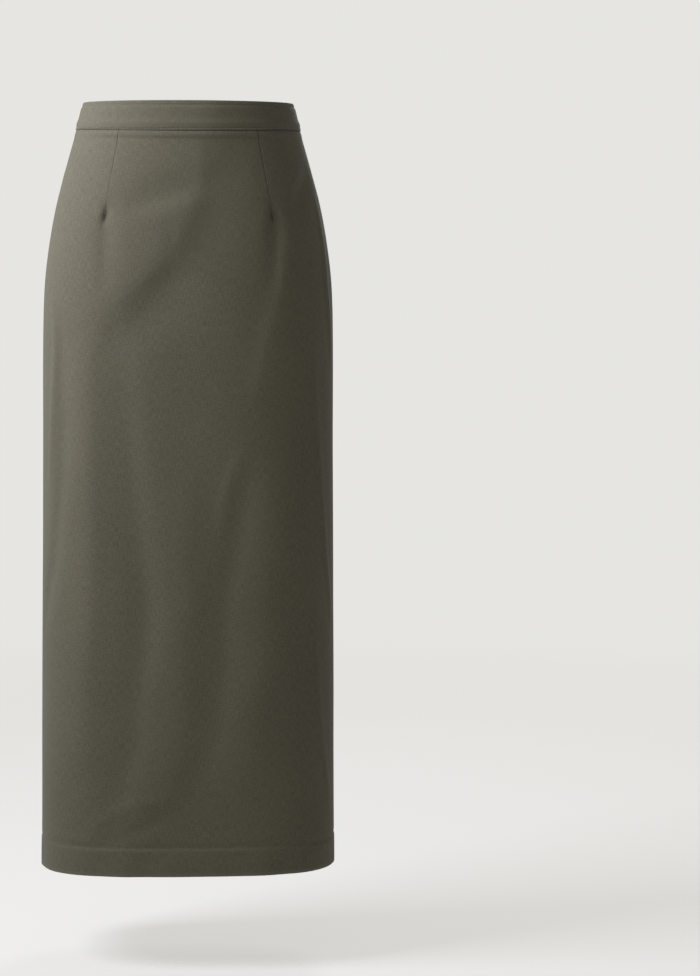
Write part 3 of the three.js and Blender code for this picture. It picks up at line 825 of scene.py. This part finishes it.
def arch():
    """The strap that the pull hangs on."""
    drawn = bmesh.new()
    corners = [drawn.verts.new((-ARCH_WIDTH / 2, -down, out)) for down, out in ARCH_SIDE]
    side = drawn.faces.new(corners)
    made = bmesh.ops.extrude_face_region(drawn, geom=[side])
    moved = [item for item in made["geom"] if isinstance(item, bmesh.types.BMVert)]
    bmesh.ops.translate(drawn, verts=moved, vec=(ARCH_WIDTH, 0, 0))
    bmesh.ops.recalc_face_normals(drawn, faces=drawn.faces)
    bmesh.ops.bevel(
        drawn, geom=drawn.edges, offset=0.16, segments=2, affect="EDGES", profile=0.5, material=-1
    )
    return finish_hard("zip_arch_metal", drawn)


strap = arch()

# %% [markdown]
# Behind the back edges run two woven tapes with the closed coil between them. The coil is a row of
# small nylon loops, alternately from the left and the right, and each loop is one bead.

# %% Tapes and coil
ZIP_LENGTH = 200
COIL_TOP = 13.5
COIL_PITCH = 1.25
Tape = namedtuple("Tape", "near far top tail front thick")
TAPE = Tape(2.6, 14, 6, 12, -2.4, 0.9)
LOOP_HALF_SIZE = Vector((0.95, 0.55, 1.7)) * MM
LOOP_ASIDE = 0.22
LOOP_IN = 0.55


def tape(name, near, far):
    """A thin woven strip that follows the centre back between two distances from it."""
    path = np.linspace(TAPE.top, ZIP_LENGTH + TAPE.tail, 84)[:, None]
    offset = np.linspace(far, near, 9)[None]
    speed = np.linalg.norm(form(90.5, path) - form(89.5, path), axis=-1)
    strip = grid_piece(name, worn(90 - offset / speed, path, TAPE.front), 0.0)
    return give_thickness(strip, TAPE.thick)


def coil():
    """The closed row of nylon loops."""
    loops = bmesh.new()
    for number, below in enumerate(np.arange(COIL_TOP, ZIP_LENGTH - 1, COIL_PITCH / 2)):
        side = 1 if number % 2 else -1
        centre = worn(90.0 - side * LOOP_ASIDE, below, TAPE.front - LOOP_IN)
        out = Vector(outward(np.array(90.0), np.array(below)))
        across = Vector((1, 0, 0))
        add_bead(loops, centre, (out, across.cross(out).normalized(), across), LOOP_HALF_SIZE)
    return made_object("zip_coil", loops)


tapes = [
    tape("zip_tape_left_cloth", TAPE.near, TAPE.far),
    tape("zip_tape_right_cloth", -TAPE.far, -TAPE.near),
]
teeth = coil()

# %% [markdown]
# Materials are written as arithmetic. One small class wraps a socket, so that adding or
# multiplying two of them adds the Math node that does it, and the recipe reads as a formula.
# Another holds a material, or the studio's world, and makes any other node in it from the node's
# type, settings and inputs.

# %% Shader arithmetic
class Value:
    """A number or colour that varies over a surface."""

    def __init__(self, finish, socket):
        self.finish = finish
        self.socket = socket

    def part(self, name):
        return Value(self.finish, self.socket.node.outputs[name])

    def math(self, operation, *values):
        return self.finish.node("ShaderNodeMath", {"operation": operation}, dict(enumerate(values)))

    def __add__(self, other):
        return self.math("ADD", self, other)

    __radd__ = __add__

    def __mul__(self, other):
        return self.math("MULTIPLY", self, other)

    __rmul__ = __mul__

    def __sub__(self, other):
        return self.math("SUBTRACT", self, other)

    def __rsub__(self, other):
        return self.math("SUBTRACT", other, self)

    def wave(self):
        return self.math("SINE", self)


class Finish:
    """The nodes of a material or a world, and the one way to add to them."""

    def __init__(self, owner):
        self.owner = owner
        owner.use_nodes = True
        self.tree = owner.node_tree
        self.tree.nodes.clear()

    def node(self, kind, settings=None, inputs=None):
        made = self.tree.nodes.new(kind)
        for name, value in (settings or {}).items():
            setattr(made, name, value)
        for name, value in (inputs or {}).items():
            if isinstance(value, Value):
                self.tree.links.new(value.socket, made.inputs[name])
            else:
                made.inputs[name].default_value = value
        return Value(self, made.outputs[0]) if made.outputs else None

    def noise(self, place, scale, detail=2.0):
        inputs = {"Vector": place, "Scale": scale, "Detail": detail}
        return self.node("ShaderNodeTexNoise", {"noise_dimensions": "3D"}, inputs)

    def blend(self, share, low, high):
        """A colour between low and high."""
        settings = {"data_type": "RGBA", "blend_type": "MIX"}
        return self.node("ShaderNodeMix", settings, {0: share, 6: low, 7: high}).part(2)

    def shade(self, **inputs):
        """Ends the recipe in a Principled surface. An underscore in a name stands for a space."""
        named = {name.replace("_", " "): value for name, value in inputs.items()}
        surface = self.node("ShaderNodeBsdfPrincipled", None, named)
        self.node("ShaderNodeOutputMaterial", None, {"Surface": surface})
        return self.owner


def new_finish(name):
    return Finish(bpy.data.materials.new(name))


# %% [markdown]
# The cloth is cotton twill in a grey olive. Its ribs run diagonally, under a millimetre apart, and
# give the surface a soft broken sheen. Yarns are never even, so longer streaks of slightly lighter
# and darker yarn run down the cloth. Edges that rub are a little paler, and the edge beside each
# seam is paler still as a painted highlight. Deep in the seams, the darts and the stitching the
# colour is darkened as painted shade. The darts' thread is as dark, as painted shade for the dart
# lines, and the thread along the waist and the hem is paler than the cloth.

# %% Twill
OLIVE = (0.035, 0.0315, 0.0218, 1)
OLIVE_LIGHT = (0.0905, 0.0815, 0.0562, 1)
# Paler tone for rubbed edges and for the painted highlight beside each seam
OLIVE_WORN_AND_HIGHLIT = (0.112, 0.102, 0.075, 1)
# Painted shade for the depths of seams, darts and stitching
OLIVE_PAINTED_SHADE = (0.012, 0.0108, 0.0078, 1)
RIB_PITCH = 0.85 * MM
RIB_SLOPE = 1.9
RIB_SLANT = 2.15
YARN_PITCH = 0.55 * RIB_PITCH
YARN_LENGTHWAYS = (1150, 120, 1)
YARN_CROSSWAYS = (140, 1100, 1)


def twill():
    cloth = new_finish("olive_twill")
    place = cloth.node("ShaderNodeUVMap", {"uv_map": "cloth"})
    split = cloth.node("ShaderNodeSeparateXYZ", None, {0: place})
    across, down = split.part("X"), split.part("Y")
    rib = ((across * RIB_SLOPE - down) * (2 * math.pi / RIB_PITCH / RIB_SLANT)).wave()
    yarn = (across * (2 * math.pi / YARN_PITCH)).wave()
    lengthways = cloth.node("ShaderNodeMapping", None, {"Vector": place, "Scale": YARN_LENGTHWAYS})
    crossways = cloth.node("ShaderNodeMapping", None, {"Vector": place, "Scale": YARN_CROSSWAYS})
    slub = cloth.noise(lengthways, 1.0, 3.0)
    weft = cloth.noise(crossways, 1.0, 3.0)
    grain = cloth.noise(place, 900.0, 2.0)
    cloudy = cloth.noise(place, 9.0, 3.0)
    rubbed_and_painted_light = cloth.node("ShaderNodeAttribute", {"attribute_name": "wear_and_painted_light"}).part("Fac")
    uneven = 0.9 * (slub - 0.5) + 0.7 * (weft - 0.5) + 1.2 * (grain - 0.5) + 0.2 * (cloudy - 0.5)
    colour = cloth.blend(0.5 + 0.10 * rib + uneven, OLIVE, OLIVE_LIGHT)
    # Paler where edges rub and where the seam edges carry a painted highlight
    colour = cloth.blend(rubbed_and_painted_light * 0.55, colour, OLIVE_WORN_AND_HIGHLIT)
    # Darker where painted shade lies in seams, darts and stitching
    colour = cloth.blend(rubbed_and_painted_light * -0.85, colour, OLIVE_PAINTED_SHADE)
    height = 0.6 * rib + 0.25 * yarn + 1.0 * slub + 0.7 * weft + 1.0 * grain
    inputs = {"Height": height, "Strength": 0.45, "Distance": 0.1 * MM}
    bumped = cloth.node("ShaderNodeBump", None, inputs)
    return cloth.shade(
        Base_Color=colour,
        Roughness=0.88 + 0.08 * (0.5 - grain),
        Normal=bumped,
        Sheen_Weight=0.05,
        Sheen_Roughness=0.5,
        Specular_IOR_Level=0.15,
    )


def thread_finish(name, dark, light):
    thread = new_finish(name)
    place = thread.node("ShaderNodeTexCoord").part("Object")
    twist = thread.noise(place, 900.0, 1.0)
    return thread.shade(Base_Color=thread.blend(twist, dark, light), Roughness=0.6, Sheen_Weight=0.1)


# %% [markdown]
# The zip's tapes and coil are dyed to match, a little darker. Its slider and pull are enamelled
# nearly black, and the pull's face is a satin grey metal that also stands in as a painted highlight
# on the pull's centre.

# %% Zip finishes
CHEVRON_ACROSS, CHEVRON_DOWN = 2600.0, 5200.0


def tape_finish():
    woven = new_finish("zip_tape_weave")
    place = woven.node("ShaderNodeUVMap", {"uv_map": "cloth"})
    split = woven.node("ShaderNodeSeparateXYZ", None, {0: place})
    chevron = (split.part("X") * CHEVRON_ACROSS).wave() * (split.part("Y") * CHEVRON_DOWN).wave()
    colour = woven.blend(0.5 + 0.4 * chevron, (0.04, 0.038, 0.03, 1), (0.062, 0.059, 0.047, 1))
    inputs = {"Height": chevron, "Strength": 0.4, "Distance": 0.1 * MM}
    bumped = woven.node("ShaderNodeBump", None, inputs)
    return woven.shade(Base_Color=colour, Roughness=0.85, Normal=bumped)


def coil_finish():
    nylon = new_finish("zip_coil_nylon")
    place = nylon.node("ShaderNodeTexCoord").part("Object")
    cloudy = nylon.noise(place, 400.0, 1.0)
    colour = nylon.blend(cloudy, (0.035, 0.034, 0.028, 1), (0.06, 0.058, 0.048, 1))
    return nylon.shade(Base_Color=colour, Roughness=0.38)


def enamel(name, dark, light, roughness):
    coated = new_finish(name)
    place = coated.node("ShaderNodeTexCoord").part("Object")
    scuffs = coated.noise(place, 1500.0, 4.0)
    colour = coated.blend(scuffs, dark, light)
    return coated.shade(
        Base_Color=colour, Roughness=roughness + 0.15 * scuffs, Metallic=0.6, Coat_Weight=0.4
    )


cloth_finish = twill()
stitch_finish = thread_finish("olive_thread", (0.15, 0.141, 0.104, 1), (0.25, 0.235, 0.176, 1))
# The darts' thread is dark as painted shade for the dart lines
painted_shade_thread_finish = thread_finish("dark_olive_thread", (0.02, 0.018, 0.013, 1), (0.085, 0.079, 0.058, 1))
weave_finish = tape_finish()
nylon_finish = coil_finish()
black_finish = enamel("zip_black_enamel", (0.008, 0.008, 0.008, 1), (0.02, 0.02, 0.019, 1), 0.25)
# Grey metal face of the pull, also a painted highlight on its centre
painted_highlight_grey_finish = enamel("zip_painted_highlight_grey", (0.2, 0.2, 0.2, 1), (0.27, 0.27, 0.265, 1), 0.32)

# %% [markdown]
# Every piece now gets its finish, its body to move with, and the model's node that it stands for.
# The pull rides on its own body.

# %% Bodies and slots
Piece = namedtuple("Piece", "object body slot finish nodes")
PIECES = [
    Piece(front, "skirt", "twill", cloth_finish, ["front_panel"]),
    Piece(back_left, "skirt", "twill", cloth_finish, ["back_panel_left"]),
    Piece(back_right, "skirt", "twill", cloth_finish, ["back_panel_right"]),
    Piece(band_front, "skirt", "twill", cloth_finish, ["waistband_front"]),
    Piece(band_left, "skirt", "twill", cloth_finish, ["waistband_back_left"]),
    Piece(band_right, "skirt", "twill", cloth_finish, ["waistband_back_right"]),
    Piece(tapes[0], "skirt", "zip_tape", weave_finish, ["zip_tape_left"]),
    Piece(tapes[1], "skirt", "zip_tape", weave_finish, ["zip_tape_right"]),
    Piece(teeth, "skirt", "zip_coil", nylon_finish, ["zip_chain"]),
    Piece(slider, "skirt", "zip_metal", black_finish, ["zip_slider"]),
    Piece(strap, "skirt", "zip_metal", black_finish, []),
    Piece(pull, "zip_pull", "zip_metal", black_finish, ["zip_pull"]),
    Piece(pull_face, "zip_pull", "zip_metal", painted_highlight_grey_finish, []),
]
PIECES += [
    Piece(row, "skirt", "twill", painted_shade_thread_finish if "dart" in row.name else stitch_finish, [])
    for row in rows_of_stitches
]

for piece in PIECES:
    piece.object.data.materials.append(piece.finish)
    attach(piece.object, piece.body)
    if piece.nodes:
        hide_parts(*piece.nodes)

Cut = namedtuple("Cut", "object width stitches")

# %% [markdown]
# The skirt hangs at a wearer's waist, so the floor lies a hand's width below its hem. The floor is
# a pale round sheet that fades out towards its edge, and the studio round it is one even pale
# tone, so no line shows where they meet, from any side.

# %% Floor and studio
FLOOR_LEVEL = -1.06
FLOOR_RADIUS = 6.0
FLOOR_CLEAR = 0.72


def floor():
    disc = bmesh.new()
    bmesh.ops.create_circle(disc, cap_ends=True, segments=96, radius=FLOOR_RADIUS)
    bmesh.ops.translate(disc, verts=disc.verts, vec=(0, 0, FLOOR_LEVEL))
    sheet = made_object("floor", disc)
    paint = new_finish("pale_floor")
    place = paint.node("ShaderNodeTexCoord").part("Object")
    level = paint.node("ShaderNodeVectorMath", {"operation": "MULTIPLY"}, {0: place, 1: (1, 1, 0)})
    distance = paint.node("ShaderNodeVectorMath", {"operation": "LENGTH"}, {0: level}).part("Value")
    settings = {"interpolation_type": "SMOOTHSTEP"}
    inputs = {"Value": distance, "From Min": 0.2, "From Max": 3.2}
    faded = paint.node("ShaderNodeMapRange", settings, inputs)
    clearness = FLOOR_CLEAR + (1 - FLOOR_CLEAR) * faded
    matt = paint.node("ShaderNodeBsdfDiffuse", None, {"Color": (0.66, 0.64, 0.6, 1)})
    clear = paint.node("ShaderNodeBsdfTransparent")
    surface = paint.node("ShaderNodeMixShader", None, {0: clearness, 1: matt, 2: clear})
    paint.node("ShaderNodeOutputMaterial", None, {"Surface": surface})
    sheet.data.materials.append(paint.owner)


floor()

# %% [markdown]
# A real studio's pale walls are brighter than its ceiling. The same soft change from the horizon
# up keeps the plain ground that the picture has, and lets the key light model the cloth.

# %% Studio
STUDIO = (0.79, 0.785, 0.76, 1)
CEILING = (0.2, 0.2, 0.19, 1)


def studio():
    world = bpy.data.worlds.new("studio")
    bpy.context.scene.world = world
    walls = Finish(world)
    direction = walls.node("ShaderNodeTexCoord").part("Generated")
    height = walls.node("ShaderNodeSeparateXYZ", None, {0: direction}).part("Z")
    settings = {"interpolation_type": "SMOOTHSTEP"}
    inputs = {"Value": height, "From Min": 0.12, "From Max": 0.75}
    rising = walls.node("ShaderNodeMapRange", settings, inputs)
    light = walls.node("ShaderNodeBackground", None, {"Color": walls.blend(rising, STUDIO, CEILING)})
    walls.node("ShaderNodeOutputWorld", None, {"Surface": light})


studio()

# %% [markdown]
# The light is soft and comes from a large area light at the upper left. The even studio fills the
# shadows. A weak light in front keeps the folds of the far side readable, and one behind does the
# same for the back. Tones are shown without a film curve, so that a material's colour can be judged.

# %% Light
def area_light(name, place, target, size, power, colour):
    lamp = bpy.data.lights.new(name, "AREA")
    lamp.shape = "RECTANGLE"
    lamp.size, lamp.size_y = size
    lamp.energy = power
    lamp.color = colour
    light = bpy.data.objects.new(name, lamp)
    light.location = place
    light.rotation_euler = (Vector(target) - Vector(place)).to_track_quat("-Z", "Y").to_euler()
    light.visible_camera = False
    bpy.context.scene.collection.objects.link(light)
    return light


area_light("key", (-1.15, -0.43, 0.69), (0, 0, 0.3), (0.8, 1.1), 69, (0.97, 1.0, 1.1))
area_light("front", (-0.9, -2.8, 1.6), (0, 0, 0.2), (1.0, 1.0), 7, (0.99, 1.0, 1.03))
area_light("behind", (0.55, 1.8, 0.7), (0, 0, -0.25), (0.5, 0.8), 27, (0.97, 1.0, 1.1))
bpy.context.scene.view_settings.view_transform = "Standard"

# %% [markdown]
# The camera stands 3.7 m in front of the side seams, level with the upper hip. The skirt is to lie
# left of the middle, as in the reference picture. A large lens shift would do that but would spoil
# the other views, so the camera mostly turns: to the right, a little down, and round its own line
# of sight by a trace that keeps the skirt upright. A small shift does the rest.

# %% Camera
CAMERA_PLACE = (0, -3.7, -0.1485)
LENS = 107.58
SHIFT = -0.12
PAN, TILT, ROLL = 3.174, 2.661, 0.159

camera_data = bpy.data.cameras.new("camera")
camera_data.sensor_width = 36
camera_data.lens = LENS
camera_data.shift_y = SHIFT
camera = bpy.data.objects.new("camera", camera_data)
panned = Matrix.Rotation(math.radians(-PAN), 4, "Z")
tilted = Matrix.Rotation(math.radians(90 - TILT), 4, "X")
rolled = Matrix.Rotation(math.radians(ROLL), 4, "Z")
camera.matrix_world = Matrix.Translation(CAMERA_PLACE) @ panned @ tilted @ rolled
bpy.context.scene.collection.objects.link(camera)
bpy.context.scene.camera = camera
print(f"The camera turns {PAN} degrees right and {TILT} down")
